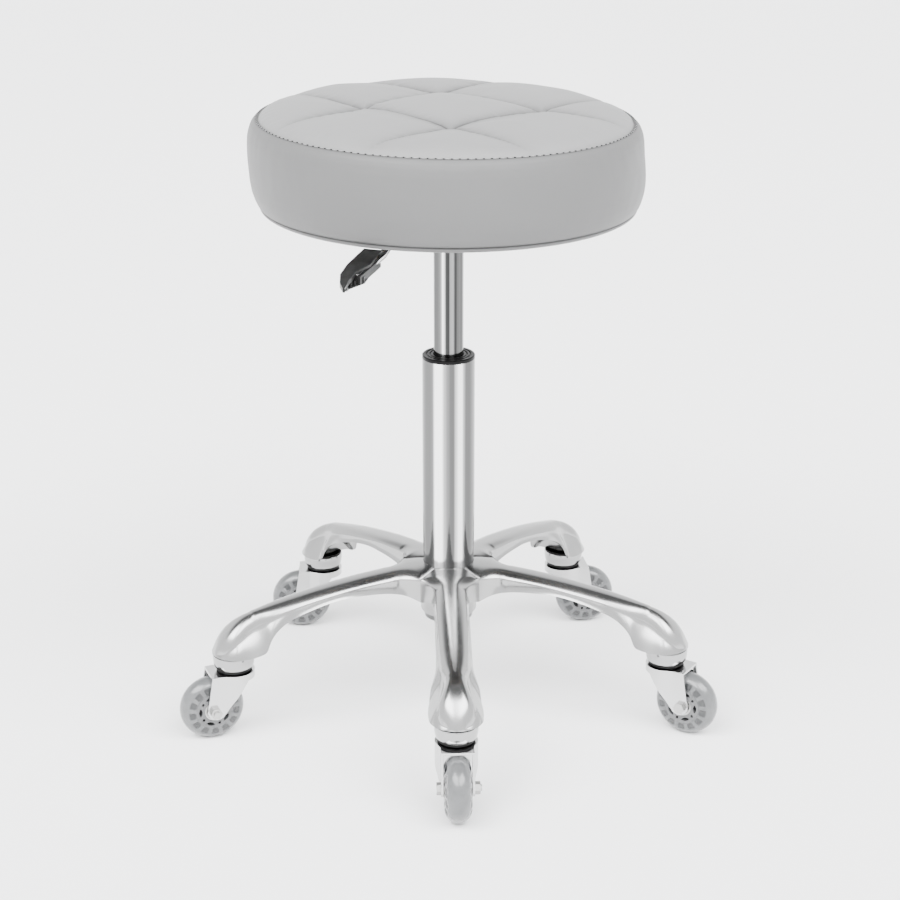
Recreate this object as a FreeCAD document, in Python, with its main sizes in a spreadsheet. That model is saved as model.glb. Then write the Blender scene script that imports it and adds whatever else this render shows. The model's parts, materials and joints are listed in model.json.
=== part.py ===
"""Pedicure stool: a round padded seat on a gas lift, with a five-arm base on casters.

Frame: origin on the floor, on the column's axis. +Z up, -Y towards the front arm's side.
All lengths are millimetres.
"""
import FreeCAD, Part
import math
import os
import Sketcher
from FreeCAD import Placement, Rotation, Vector

ARMS = 5

DRIVING = {
    # casters
    "wheel_radius": 31.0,
    "wheel_width": 24.0,
    "tyre_bore": 17.5,
    "hub_face_half": 12.0,
    "bearing_radius": 9.5,
    "bearing_width": 6.0,
    "axle_radius": 3.0,
    "caster_trail": 23.6,
    "fork_plate_top": 66.5,
    "fork_sheet": 2.0,
    "fork_half_width": 15.0,
    "fork_head_radius": 19.5,
    "fork_tail": 25.0,
    "fork_eye_radius": 7.5,
    "cup_radius": 20.0,
    "cup_floor": 67.5,
    "cup_top": 85.0,
    "stem_radius": 5.5,
    "stem_neck_radius": 4.0,
    "stem_top": 103.0,
    # star base
    "stem_circle": 217.7,
    "arm_wall": 4.0,
    "hub_top": 147.6,
    "boss_radius": 26.5,
    "boss_floor": 97.0,
    # gas lift
    "tube_radius": 25.0,
    "tube_wall": 2.0,
    "tube_taper_start": 185.0,
    "tube_foot_radius": 23.5,
    "tube_foot": 91.0,
    "tube_top": 355.0,
    "cap_thickness": 3.4,
    "cylinder_radius": 14.0,
    "cylinder_tip_radius": 13.4,
    "cylinder_bore": 11.5,
    "cylinder_foot": 273.0,
    "cylinder_taper_start": 461.0,
    "cylinder_top": 489.5,
    "rod_radius": 5.0,
    "rod_foot_radius": 4.0,
    "pin_radius": 2.5,
    "pin_top": 493.4,
    "running_gap": 0.05,
    # seat
    "seat_radius": 180.8,
    "seat_top_seam_radius": 170.0,
    "seat_top_seam": 581.0,
    "seat_bottom_seam_radius": 177.5,
    "seat_bottom_seam": 507.0,
    "seat_floor": 503.0,
    "seat_top": 599.5,
    "seat_flat_radius": 90.0,
    "cover_thickness": 1.4,
    "board_radius": 172.0,
    "board_floor": 506.0,
    "board_thickness": 12.0,
    "plate_half": 75.0,
    "plate_thickness": 3.0,
    "box_half": 35.0,
    "box_floor": 486.0,
    "socket_foot": 461.0,
    "socket_radius": 18.0,
    "bolt_spacing": 120.0,
    "bolt_radius": 3.0,
    "lever_radius": 4.0,
    "lever_height": 497.5,
    "lever_pivot_reach": 22.0,
    "grip_top": 481.0,
    "grip_thickness": 4.0,
}

# One arm of the star, hub end first: reach from the column's axis, height of the flange's lower
# edge and its half width, height of the crease and its half width, height of the ridge.
ARM_STATIONS = {
    "root": (30.0, 119.0, 21.0, 141.0, 18.0, 147.4),
    "neck": (60.0, 127.0, 17.5, 139.8, 14.5, 146.0),
    "middle": (100.0, 130.0, 16.5, 137.0, 13.5, 142.0),
    "shoulder": (135.0, 125.5, 16.5, 131.0, 12.5, 136.5),
    "bend": (162.0, 116.0, 17.5, 124.5, 11.0, 131.2),
    "heel": (180.0, 106.0, 20.5, 118.5, 10.0, 127.3),
    "block": (190.0, 92.5, 23.4, 114.0, 10.4, 124.6),
    "flank": (200.0, 87.0, 25.0, 110.0, 11.0, 121.5),
    "toe": (215.0, 85.0, 24.5, 101.5, 13.5, 115.2),
    "nose": (226.0, 85.0, 20.0, 94.0, 14.0, 105.5),
    "lip": (234.0, 85.0, 13.5, 88.5, 10.0, 95.0),
    "tip": (238.3, 85.0, 5.0, 86.5, 4.0, 88.0),
}
STATION_SIZES = ("reach", "foot", "foot_half", "crease", "crease_half", "ridge")
FIRST_ARM_TURN = 1.83
HOLLOW_STATIONS = ("neck", "middle", "shoulder", "bend", "heel", "block", "flank")

# Which way each caster trails, measured at the column from -Y towards +X, in degrees.
CASTERS = {
    "front": (0, 3.0),
    "right": (1, 58.5),
    "rear_right": (2, 98.3),
    "rear_left": (3, 272.0),
    "left": (4, 291.0),
}

SEAT_MECHANISM_TURN = -39.8
LEVER_ROUTE = ((5.5, 6.6, 497.5), (-25.6, -30.7, 497.5), (-50.0, -60.0, 483.0), (-58.5, -90.0, 477.0),
               (-79.5, -158.0, 475.0))
GRIP_TOP_FACE = ((-74.8, -80.0), (-87.3, -133.6), (-91.8, -166.0), (-90.8, -193.0), (-87.6, -209.0),
                 (-85.8, -209.0), (-84.0, -188.0), (-79.0, -160.0), (-67.1, -133.0), (-58.6, -86.0))
GRIP_UNDER_FACE = ((-86.0, -178.0), (-71.5, -156.0), (-69.0, -142.0), (-67.5, -124.0), (-65.0, -106.0),
                   (-84.0, -106.0), (-88.0, -150.0))
GRIP_SPINE = ((-72.6, -100.0), (-86.3, -160.0), (-74.9, -164.0), (-59.2, -104.0))
GRIP_RIBS = 5


class Size(float):
    """A length that knows both its value and the sheet expression that drives it."""

    def __new__(cls, value, text):
        size = super().__new__(cls, value)
        size.text = text
        return size

    @staticmethod
    def text_of(value):
        return value.text if isinstance(value, Size) else repr(float(value))

    def join(self, other, sign, value, swapped=False):
        first, second = Size.text_of(self), Size.text_of(other)
        if swapped:
            first, second = second, first
        return Size(value, "(" + first + " " + sign + " " + second + ")")

    def __add__(self, other):
        return self.join(other, "+", float(self) + float(other))

    def __radd__(self, other):
        return self.join(other, "+", float(other) + float(self), True)

    def __sub__(self, other):
        return self.join(other, "-", float(self) - float(other))

    def __rsub__(self, other):
        return self.join(other, "-", float(other) - float(self), True)

    def __mul__(self, other):
        return self.join(other, "*", float(self) * float(other))

    def __rmul__(self, other):
        return self.join(other, "*", float(other) * float(self), True)

    def __truediv__(self, other):
        return self.join(other, "/", float(self) / float(other))

    def __neg__(self):
        return Size(-float(self), "(0 - " + self.text + ")")


doc = FreeCAD.newDocument("PedicureStool")
sheet = doc.addObject("Spreadsheet::Sheet", "Sizes")
SIZES = {}
NODES = []


def add_cell(alias, value):
    row = len(SIZES) + 1
    sheet.set("A%d" % row, alias)
    sheet.set("B%d" % row, str(value))
    sheet.setAlias("B%d" % row, alias)
    SIZES[alias] = Size(value, "Sizes." + alias)


for name, number in DRIVING.items():
    add_cell(name, number)
for station, numbers in ARM_STATIONS.items():
    for what, number in zip(STATION_SIZES, numbers):
        add_cell(station + "_" + what, number)
doc.recompute()


def size(alias):
    return SIZES[alias]


def bind(thing, prop, value):
    """Give a property a value, held by the sheet where the value comes from it."""
    if isinstance(value, Size):
        thing.setExpression(prop, value.text)
    else:
        setattr(thing, prop, value)


def node(thing, label, placement=None):
    """Name an object that is one piece of the stool."""
    thing.Label = label
    if placement is not None:
        thing.Placement = placement
    NODES.append(thing)
    return thing


def new_body(name):
    return doc.addObject("PartDesign::Body", name)


def origin_plane(body, role):
    return next(f for f in body.Origin.OriginFeatures if f.Role == role)


def outline(body, name, points, arcs=None, plane="XZ_Plane", offset=0.0):
    """A closed sketch through points; arcs maps a side's index to a point that its arc goes through."""
    arcs = arcs or {}
    sketch = body.newObject("Sketcher::SketchObject", name)
    sketch.AttachmentSupport = [(origin_plane(body, plane), "")]
    sketch.MapMode = "FlatFace"
    if isinstance(offset, Size):
        bind(sketch, "AttachmentOffset.Base.z", offset)
    corners = [Vector(float(x), float(y), 0) for x, y in points]
    starts, ends = {}, {}
    for i, start in enumerate(corners):
        end = corners[(i + 1) % len(corners)]
        if i in arcs:
            middle = Vector(float(arcs[i][0]), float(arcs[i][1]), 0)
            round_side = Part.Circle(start, middle, end)
            turn = (middle - start).cross(end - middle).z
            centre, curve = round_side.Center, round_side.Radius
            low, high = (start, end) if turn > 0 else (end, start)
            angles = [math.atan2(p.y - centre.y, p.x - centre.x) for p in (low, high)]
            if angles[1] <= angles[0]:
                angles[1] += 2 * math.pi
            circle = Part.Circle(centre, Vector(0, 0, 1), curve)
            index = sketch.addGeometry(Part.ArcOfCircle(circle, *angles), False)
            starts[i], ends[i] = ((index, 1), (index, 2)) if turn > 0 else ((index, 2), (index, 1))
            sketch.addConstraint(Sketcher.Constraint("Radius", index, curve))
        else:
            index = sketch.addGeometry(Part.LineSegment(start, end), False)
            starts[i], ends[i] = (index, 1), (index, 2)
    for i in range(len(corners)):
        sketch.addConstraint(Sketcher.Constraint("Coincident", *ends[i], *starts[(i + 1) % len(corners)]))
    for i, (x, y) in enumerate(points):
        for kind, value, axis in (("DistanceX", x, -2), ("DistanceY", y, -1)):
            if abs(float(value)) < 1e-9:
                sketch.addConstraint(Sketcher.Constraint("PointOnObject", *starts[i], axis))
                continue
            ordered = (-1, 1) + starts[i] if value > 0 else starts[i] + (-1, 1)
            distance = value if value > 0 else -value
            number = sketch.addConstraint(Sketcher.Constraint(kind, *ordered, float(distance)))
            if isinstance(distance, Size):
                sketch.setExpression("Constraints[%d]" % number, distance.text)
    return sketch


def ring_sketch(body, name, circles, plane="XY_Plane"):
    """A sketch of whole circles, each (x, y, radius)."""
    sketch = body.newObject("Sketcher::SketchObject", name)
    sketch.AttachmentSupport = [(origin_plane(body, plane), "")]
    sketch.MapMode = "FlatFace"
    for x, y, radius in circles:
        circle = Part.Circle(Vector(float(x), float(y), 0), Vector(0, 0, 1), float(radius))
        index = sketch.addGeometry(circle, False)
        number = sketch.addConstraint(Sketcher.Constraint("Radius", index, float(radius)))
        if isinstance(radius, Size):
            sketch.setExpression("Constraints[%d]" % number, radius.text)
        for kind, value, axis in (("DistanceX", x, -2), ("DistanceY", y, -1)):
            if abs(float(value)) < 1e-9:
                sketch.addConstraint(Sketcher.Constraint("PointOnObject", index, 3, axis))
                continue
            ordered = (-1, 1, index, 3) if value > 0 else (index, 3, -1, 1)
            distance = value if value > 0 else -value
            number = sketch.addConstraint(Sketcher.Constraint(kind, *ordered, float(distance)))
            if isinstance(distance, Size):
                sketch.setExpression("Constraints[%d]" % number, distance.text)
    return sketch


def turned(name, points, arcs=None, angle=360.0):
    """A body turned about Z from an outline of (radius, height) points."""
    body = new_body(name)
    sketch = outline(body, name + "_outline", points, arcs)
    feature = body.newObject("PartDesign::Revolution", name + "_turned")
    feature.Profile = sketch
    feature.ReferenceAxis = (sketch, ["V_Axis"])
    feature.Angle = angle
    return body


def pad(body, name, sketch, length, both_ways=False):
    feature = body.newObject("PartDesign::Pad", name)
    feature.Profile = sketch
    bind(feature, "Length", length)
    feature.Midplane = both_ways
    return feature


def pocket_through(body, name, sketch, both_ways=True):
    feature = body.newObject("PartDesign::Pocket", name)
    feature.Profile = sketch
    feature.Type = "ThroughAll"
    feature.Midplane = both_ways
    return feature


def polar(body, name, original, count, axis_role="Z_Axis"):
    feature = body.newObject("PartDesign::PolarPattern", name)
    feature.Originals = [original]
    feature.Axis = (origin_plane(body, axis_role), [""])
    feature.Angle = 360.0
    feature.Occurrences = count
    body.Tip = feature
    return feature


def arm_heading(arm):
    """Direction of an arm about Z, from +X, in degrees."""
    return -90.0 + FIRST_ARM_TURN + arm * 360.0 / ARMS


def at_heading(degrees, reach=0.0, height=0.0):
    place = Vector(reach * math.cos(math.radians(degrees)), reach * math.sin(math.radians(degrees)), height)
    return Placement(place, Rotation(Vector(0, 0, 1), degrees))


# ---------------------------------------------------------------- star base

def arm_section(body, station, inset):
    """One cross-section of an arm, or of the hollow under it when inset is its wall."""
    reach, foot, foot_half, crease, crease_half, ridge = (size(station + "_" + s) for s in STATION_SIZES)
    if inset:
        foot = foot - 6.0
        foot_half, crease_half = foot_half - inset, crease_half - inset
        crease, ridge = crease - inset, ridge - inset - 1.0
    points = [(-foot_half, foot), (foot_half, foot), (crease_half, crease), (0.0, ridge), (-crease_half, crease)]
    name = ("hollow_" if inset else "arm_") + station
    return outline(body, name, points, plane="YZ_Plane", offset=reach)


def loft(body, kind, name, sections):
    feature = body.newObject("PartDesign::" + kind, name)
    feature.Profile = sections[0]
    feature.Sections = sections[1:]
    feature.Ruled = True
    return feature


def star_base():
    body = new_body("star_base")
    arm = loft(body, "AdditiveLoft", "arm", [arm_section(body, s, 0) for s in ARM_STATIONS])
    polar(body, "arms", arm, ARMS)
    top, boss = size("hub_top"), size("boss_radius")
    hub_points = [(0.0, size("boss_floor")), (boss, size("boss_floor")), (boss, 116.0), (38.0, 122.0),
                  (47.0, 130.0), (47.0, 139.0), (43.0, 144.0), (30.0, top), (0.0, top)]
    hub_sketch = outline(body, "hub_outline", hub_points)
    hub = body.newObject("PartDesign::Revolution", "hub")
    hub.Profile = hub_sketch
    hub.ReferenceAxis = (hub_sketch, ["V_Axis"])
    hub.Angle = 360.0
    hollow = loft(body, "SubtractiveLoft", "hollow",
                  [arm_section(body, s, size("arm_wall")) for s in HOLLOW_STATIONS])
    polar(body, "hollows", hollow, ARMS)
    bore = outline(body, "bore_outline", [(0.0, 80.0), (tube_radius_at(80.0), 80.0),
                                          (tube_radius_at(160.0), 160.0), (0.0, 160.0)])
    groove = body.newObject("PartDesign::Groove", "tube_bore")
    groove.Profile = bore
    groove.ReferenceAxis = (bore, ["V_Axis"])
    groove.Angle = 360.0
    body.Tip = groove
    socket = ring_sketch(body, "stem_socket", [(size("stem_circle"), 0.0, size("stem_radius"))])
    drill = body.newObject("PartDesign::Pocket", "stem_drill")
    drill.Profile = socket
    drill.Type = "Length"
    bind(drill, "Length", size("stem_top") + 1.0)
    drill.Reversed = True
    polar(body, "stem_sockets", drill, ARMS)
    return node(body, "star_base", at_heading(arm_heading(0)))


# ---------------------------------------------------------------- gas lift

def tube_radius_at(height):
    """Outer radius of the column tube, which tapers towards its foot."""
    start, foot = size("tube_taper_start"), size("tube_foot")
    slope = (size("tube_radius") - size("tube_foot_radius")) / (start - foot)
    return size("tube_foot_radius") + slope * (height - foot)


def column():
    radius, wall, top, foot = size("tube_radius"), size("tube_wall"), size("tube_top"), size("tube_foot")
    start, foot_radius = size("tube_taper_start"), size("tube_foot_radius")
    node(turned("column_tube", [(foot_radius - wall, foot), (foot_radius, foot), (radius, start), (radius, top),
                                (radius - wall, top), (radius - wall, start)]), "column_tube")
    bore = radius - wall
    slide = size("cylinder_radius") + size("running_gap")
    node(turned("guide_bush", [(slide, top - 82.0), (bore, top - 82.0), (bore, top), (slide, top)]), "guide_bush")
    cap = size("cap_thickness")
    lip = slide + 0.6
    node(turned("tube_cap", [(lip, top), (radius, top), (radius, top + cap - 0.8), (radius - 0.8, top + cap),
                             (21.5, top + cap), (21.5, top + cap - 1.2), (20.0, top + cap - 1.2),
                             (20.0, top + cap), (18.2, top + cap), (18.2, top + cap - 1.2),
                             (16.7, top + cap - 1.2), (16.7, top + cap), (lip, top + cap)]), "tube_cap")
    floor_low, floor_high = foot + 1.0, foot + 4.0
    hole = size("rod_foot_radius") + 0.08
    inner = 0.0 - wall
    node(turned("tube_floor", [(hole, floor_low), (tube_radius_at(floor_low) + inner, floor_low),
                               (tube_radius_at(floor_high) + inner, floor_high), (hole, floor_high)]),
         "tube_floor")


def piston():
    rod, thin, floor_high = size("rod_radius"), size("rod_foot_radius"), size("tube_foot") + 4.0
    bearing_low, bearing_high = floor_high + 0.02, floor_high + 8.0
    seal, neck = size("cylinder_bore") - size("running_gap"), size("cylinder_foot") + 10.0
    groove_low, groove_high = size("tube_foot") - 1.4, size("tube_foot") - 0.2
    node(turned("piston_rod", [(0.0, groove_low - 2.6), (thin, groove_low - 2.6), (thin, groove_low),
                               (thin - 0.8, groove_low), (thin - 0.8, groove_high), (thin, groove_high),
                               (thin, bearing_high), (rod, bearing_high), (rod, neck), (seal, neck),
                               (seal, neck + 6.0), (0.0, neck + 6.0)]), "piston_rod")
    node(turned("retaining_clip", [(thin - 0.8, groove_low), (8.5, groove_low), (8.5, groove_high),
                                   (thin - 0.8, groove_high)], angle=310.0), "retaining_clip")
    node(turned("bump_rubber", [(rod, bearing_high), (10.5, bearing_high), (9.0, bearing_high + 5.0),
                                (10.5, bearing_high + 10.0), (rod, bearing_high + 10.0)]), "bump_rubber")
    race, ball, pitch = 2.0, 2.0, 9.0
    lower = turned("lower_race", [(thin, bearing_low), (13.0, bearing_low), (13.0, bearing_low + race),
                                  (thin, bearing_low + race)])
    upper = turned("upper_race", [(thin, bearing_high - race), (13.0, bearing_high - race), (13.0, bearing_high),
                                  (thin, bearing_high)])
    balls = []
    count = 12
    for i in range(count):
        sphere = doc.addObject("Part::Sphere", "race_ball")
        sphere.Radius = ball - 0.02
        turn = math.radians(i * 360.0 / count)
        middle = (bearing_low + bearing_high) / 2
        sphere.Placement.Base = Vector(pitch * math.cos(turn), pitch * math.sin(turn), float(middle))
        balls.append(sphere)
    group = doc.addObject("Part::Compound", "thrust_bearing")
    group.Links = [lower, upper] + balls
    node(group, "thrust_bearing")


def cylinder():
    radius, tip, bore = size("cylinder_radius"), size("cylinder_tip_radius"), size("cylinder_bore")
    foot, start, top = size("cylinder_foot"), size("cylinder_taper_start"), size("cylinder_top")
    pin_hole = size("pin_radius") + size("running_gap")
    node(turned("pressure_cylinder", [(bore, foot), (radius, foot), (radius, start), (tip, top), (pin_hole, top),
                                      (pin_hole, start + 6.0), (bore, start)]), "pressure_cylinder")
    gland = size("rod_radius") + size("running_gap")
    node(turned("cylinder_gland", [(gland, foot), (bore, foot), (bore, foot + 8.0), (gland, foot + 8.0)]),
         "cylinder_gland")
    pin, pin_top = size("pin_radius"), size("pin_top")
    node(turned("release_pin", [(0.0, start + 8.0), (pin, start + 8.0), (pin, pin_top - 0.6),
                                (pin - 0.6, pin_top), (0.0, pin_top)]), "release_pin")


# ---------------------------------------------------------------- seat

def seat():
    radius, seam_radius, seam = size("seat_radius"), size("seat_top_seam_radius"), size("seat_top_seam")
    low_radius, low, floor = size("seat_bottom_seam_radius"), size("seat_bottom_seam"), size("seat_floor")
    board_radius, board_floor = size("board_radius"), size("board_floor")
    board_top = board_floor + size("board_thickness")
    top, flat = size("seat_top"), size("seat_flat_radius")
    pocket = board_radius + 0.3
    roof = board_top + 1.5
    skin = size("cover_thickness")
    whole = turned("padded_seat", [(0.0, roof), (pocket, roof), (pocket, floor), (low_radius - 1.5, floor),
                                   (low_radius, low), (radius - 1.0, low + 9.0), (radius - 1.0, seam - 19.0),
                                   (seam_radius, seam), (flat, top), (0.0, top)],
                   arcs={5: (radius, 539.0), 6: (177.6, 574.0), 7: (137.0, 592.3)})
    foam = turned("foam_core", [(0.0, roof), (pocket, roof), (pocket, floor + skin),
                                (low_radius - 1.5 - skin, floor + skin), (low_radius - skin, low),
                                (radius - 1.0 - skin, low + 9.0), (radius - 1.0 - skin, seam - 19.0),
                                (seam_radius - skin, seam - skin), (flat, top - skin), (0.0, top - skin)],
                  arcs={5: (radius - skin, 539.0), 6: (177.6 - skin, 573.4), 7: (136.6, 592.3 - skin)})
    node(foam, "seat_foam")
    cover = doc.addObject("Part::Cut", "seat_cover")
    cover.Base, cover.Tool = whole, foam
    node(cover, "seat_cover")
    hem = turned("cover_hem", [(board_radius - 22.0, board_floor - 1.6), (board_radius, board_floor - 1.6),
                               (board_radius, board_floor), (board_radius - 22.0, board_floor)])
    node(hem, "cover_hem")

    board = turned("seat_board", [(0.0, board_floor), (board_radius, board_floor), (board_radius, board_top),
                                  (0.0, board_top)])
    half = size("bolt_spacing") / 2
    spots = [(sx * half, sy * half) for sx in (1, -1) for sy in (1, -1)]
    holes = ring_sketch(board, "bolt_holes", [(x, y, 4.2) for x, y in spots])
    board.Tip = pocket_through(board, "bolt_drill", holes)
    node(board, "seat_board", at_heading(SEAT_MECHANISM_TURN))

    cover = new_body("dust_cover")
    pad(cover, "cloth", ring_sketch(cover, "cloth_edge", [(0.0, 0.0, board_radius - 26.0)]), 0.8)
    gap = size("plate_half") + 2.0
    square = outline(cover, "plate_gap", [(-gap, -gap), (gap, -gap), (gap, gap), (-gap, gap)], plane="XY_Plane")
    cover.Tip = pocket_through(cover, "plate_cut", square)
    node(cover, "dust_cover", at_heading(SEAT_MECHANISM_TURN, height=float(board_floor) - 0.8))

    bolts, nuts = [], []
    plate_low = board_floor - size("plate_thickness")
    shank = size("bolt_radius")
    for i, (x, y) in enumerate(spots):
        place = Placement(Vector(float(x), float(y), 0), Rotation())
        bolt = turned("seat_bolt", [(0.0, plate_low - 5.2), (5.0, plate_low - 5.2), (5.0, plate_low - 1.2),
                                    (8.0, plate_low - 1.2), (8.0, plate_low), (shank, plate_low),
                                    (shank, board_top - 1.0), (0.0, board_top - 1.0)])
        nut = turned("tee_nut", [(shank, board_floor + 1.0), (4.2, board_floor + 1.0), (4.2, board_top),
                                 (9.0, board_top), (9.0, board_top + 1.2), (shank, board_top + 1.2)])
        bolt.Placement = nut.Placement = place
        bolts.append(bolt)
        nuts.append(nut)
    for label, links in (("seat_bolts", bolts), ("tee_nuts", nuts)):
        group = doc.addObject("Part::Compound", label)
        group.Links = links
        node(group, label, at_heading(SEAT_MECHANISM_TURN))

    staples = []
    count = 24
    for i in range(count):
        staple = doc.addObject("Part::Box", "staple")
        staple.Length, staple.Width, staple.Height = 0.9, 9.0, 0.7
        turn = i * 360.0 / count
        arm = at_heading(turn, float(board_radius) - 12.0, float(board_floor) - 2.3)
        staple.Placement = arm.multiply(Placement(Vector(-0.45, -4.5, 0), Rotation()))
        staples.append(staple)
    group = doc.addObject("Part::Compound", "staples")
    group.Links = staples
    node(group, "staples")


def seat_plate():
    """Pressed plate with a deep box in its middle and a tapered socket under the box."""
    body = new_body("seat_plate")
    half, thick, box = size("plate_half"), size("plate_thickness"), size("box_half")
    plate_top, box_floor = size("board_floor"), size("box_floor")
    wall = 3.0
    inside = box - wall
    slot = 7.0

    def square(name, edge, height):
        corners = [(-edge, -edge), (edge, -edge), (edge, edge), (-edge, edge)]
        return outline(body, name, corners, plane="XY_Plane", offset=height)

    pad(body, "plate", square("plate_outline", half, plate_top - thick), thick)
    pad(body, "box", square("box_outline", box, box_floor), plate_top - box_floor)
    cavity = body.newObject("PartDesign::Pocket", "box_cavity")
    cavity.Profile = square("cavity_outline", inside, plate_top)
    bind(cavity, "Length", plate_top - box_floor - wall)
    socket_low, socket, tip = size("socket_foot"), size("socket_radius"), size("cylinder_tip_radius")
    collar = outline(body, "socket_outline", [(0.0, socket_low), (socket, socket_low), (socket, box_floor + 1.0),
                                              (0.0, box_floor + 1.0)])
    socket_feature = body.newObject("PartDesign::Revolution", "socket")
    socket_feature.Profile = collar
    socket_feature.ReferenceAxis = (collar, ["V_Axis"])
    socket_feature.Angle = 360.0
    start, top, radius = size("cylinder_taper_start"), size("cylinder_top"), size("cylinder_radius")
    bore = outline(body, "taper_outline", [(0.0, start), (radius, start), (tip, top), (0.0, top)])
    taper = body.newObject("PartDesign::Groove", "taper_bore")
    taper.Profile = bore
    taper.ReferenceAxis = (bore, ["V_Axis"])
    taper.Angle = 360.0
    mouth = outline(body, "lever_mouth_outline", [(-slot, box_floor + wall + 2.0), (slot, box_floor + wall + 2.0),
                                                  (slot, plate_top - thick), (-slot, plate_top - thick)])
    lever_mouth = body.newObject("PartDesign::Pocket", "lever_mouth")
    lever_mouth.Profile = mouth
    bind(lever_mouth, "Length", box + 1.0)
    lever_mouth.Reversed = True
    bolt_half = size("bolt_spacing") / 2
    spots = [(sx * bolt_half, sy * bolt_half, size("bolt_radius") + 0.3) for sx in (1, -1) for sy in (1, -1)]
    body.Tip = pocket_through(body, "bolt_holes", ring_sketch(body, "bolt_hole_rings", spots))
    return node(body, "seat_plate", at_heading(SEAT_MECHANISM_TURN))


def rounded_path(points, radius):
    """Straight runs through the points, joined by arcs."""
    route = [Vector(*p) for p in points]
    edges, last = [], route[0]
    for before, corner, after in zip(route, route[1:], route[2:]):
        back, ahead = (before - corner).normalize(), (after - corner).normalize()
        half_angle = back.getAngle(ahead) / 2
        cut = radius / math.tan(half_angle)
        start, end = corner + back * cut, corner + ahead * cut
        bisector = (back + ahead).normalize()
        centre = corner + bisector * (radius / math.sin(half_angle))
        middle = centre - bisector * radius
        edges += [Part.LineSegment(last, start).toShape(), Part.Arc(start, middle, end).toShape()]
        last = end
    edges.append(Part.LineSegment(last, route[-1]).toShape())
    return Part.Wire(edges)


def lever():
    radius = float(size("lever_radius"))
    path = rounded_path(LEVER_ROUTE, 16.0)
    circle = Part.Circle(path.Edges[0].Vertexes[0].Point, path.Edges[0].tangentAt(0), radius)
    bar = path.makePipeShell([Part.Wire(circle.toShape())], True, False)
    out = Vector(LEVER_ROUTE[1][0], LEVER_ROUTE[1][1], 0).normalize()
    reach = float(size("lever_pivot_reach"))
    pivot = Placement(out * reach + Vector(0, 0, float(size("lever_height"))), Rotation(Vector(0, 0, 1), out))
    pin_radius, pin_half = 2.5, 11.0
    side = Vector(-out.y, out.x, 0)
    middle = out * reach + Vector(0, 0, float(size("lever_height")))
    hole = Part.makeCylinder(pin_radius + 0.12, 4 * radius, middle - side * (2 * radius), side)
    rod = doc.addObject("Part::Feature", "lever_rod")
    rod.Shape = bar.cut(hole)
    node(rod, "lever_rod")
    pin = doc.addObject("Part::Cylinder", "lever_pivot_pin")
    pin.Radius, pin.Height = pin_radius, 2 * pin_half
    pin.Placement = Placement(middle - side * pin_half, Rotation(Vector(0, 0, 1), side))
    node(pin, "lever_pivot_pin")

    grip = new_body("grip_moulding")
    blade_low = size("grip_top") - size("grip_thickness")
    blade = outline(grip, "blade_outline", GRIP_TOP_FACE, plane="XY_Plane", offset=blade_low)
    pad(grip, "blade", blade, size("grip_thickness"))
    spine = outline(grip, "spine_outline", GRIP_SPINE, plane="XY_Plane", offset=size("grip_top") - 10.5)
    pad(grip, "spine", spine, 7.5)
    under_low, thin = size("grip_top") - 11.0, 1.4
    under = outline(grip, "under_outline", GRIP_UNDER_FACE, plane="XY_Plane", offset=under_low)
    pad(grip, "under_blade", under, thin)
    nose = outline(grip, "nose_outline", [(-207.0, blade_low + 0.5), (-196.0, blade_low + 0.5),
                                          (-166.0, under_low), (-178.5, under_low)], plane="YZ_Plane")
    nose.AttachmentOffset = Placement(Vector(0, 0, -87.4), Rotation())
    pad(grip, "nose", nose, 3.0)
    for i in range(GRIP_RIBS):
        share = i / (GRIP_RIBS - 1)
        back = (-70.0 + 3.4 * share, -118.0 + 4.0 * share)
        front = (-85.5 + 13.5 * share, -177.5 + 20.5 * share)
        middle = (-76.5 + 6.5 * share, -142.0 + 4.0 * share)
        rib = outline(grip, "rib_%d_outline" % i,
                      [front, middle, back, (back[0] - thin, back[1]), (middle[0] - thin, middle[1]),
                       (front[0] - thin, front[1])], plane="XY_Plane", offset=under_low + 0.4)
        pad(grip, "rib_%d" % i, rib, (blade_low - under_low) * (1.0 if share < 0.3 else 0.72))
    bore = doc.addObject("Part::Feature", "grip_bore")
    bore.Shape = bar
    bored = doc.addObject("Part::Cut", "lever_grip")
    bored.Base, bored.Tool = grip, bore
    node(bored, "lever_grip")


# ---------------------------------------------------------------- casters

def hexagon(name, across_flats, height, placement):
    prism = doc.addObject("Part::Prism", name)
    prism.Polygon = 6
    prism.Circumradius = across_flats / math.sqrt(3)
    prism.Height = height
    prism.Placement = placement
    return prism


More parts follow.
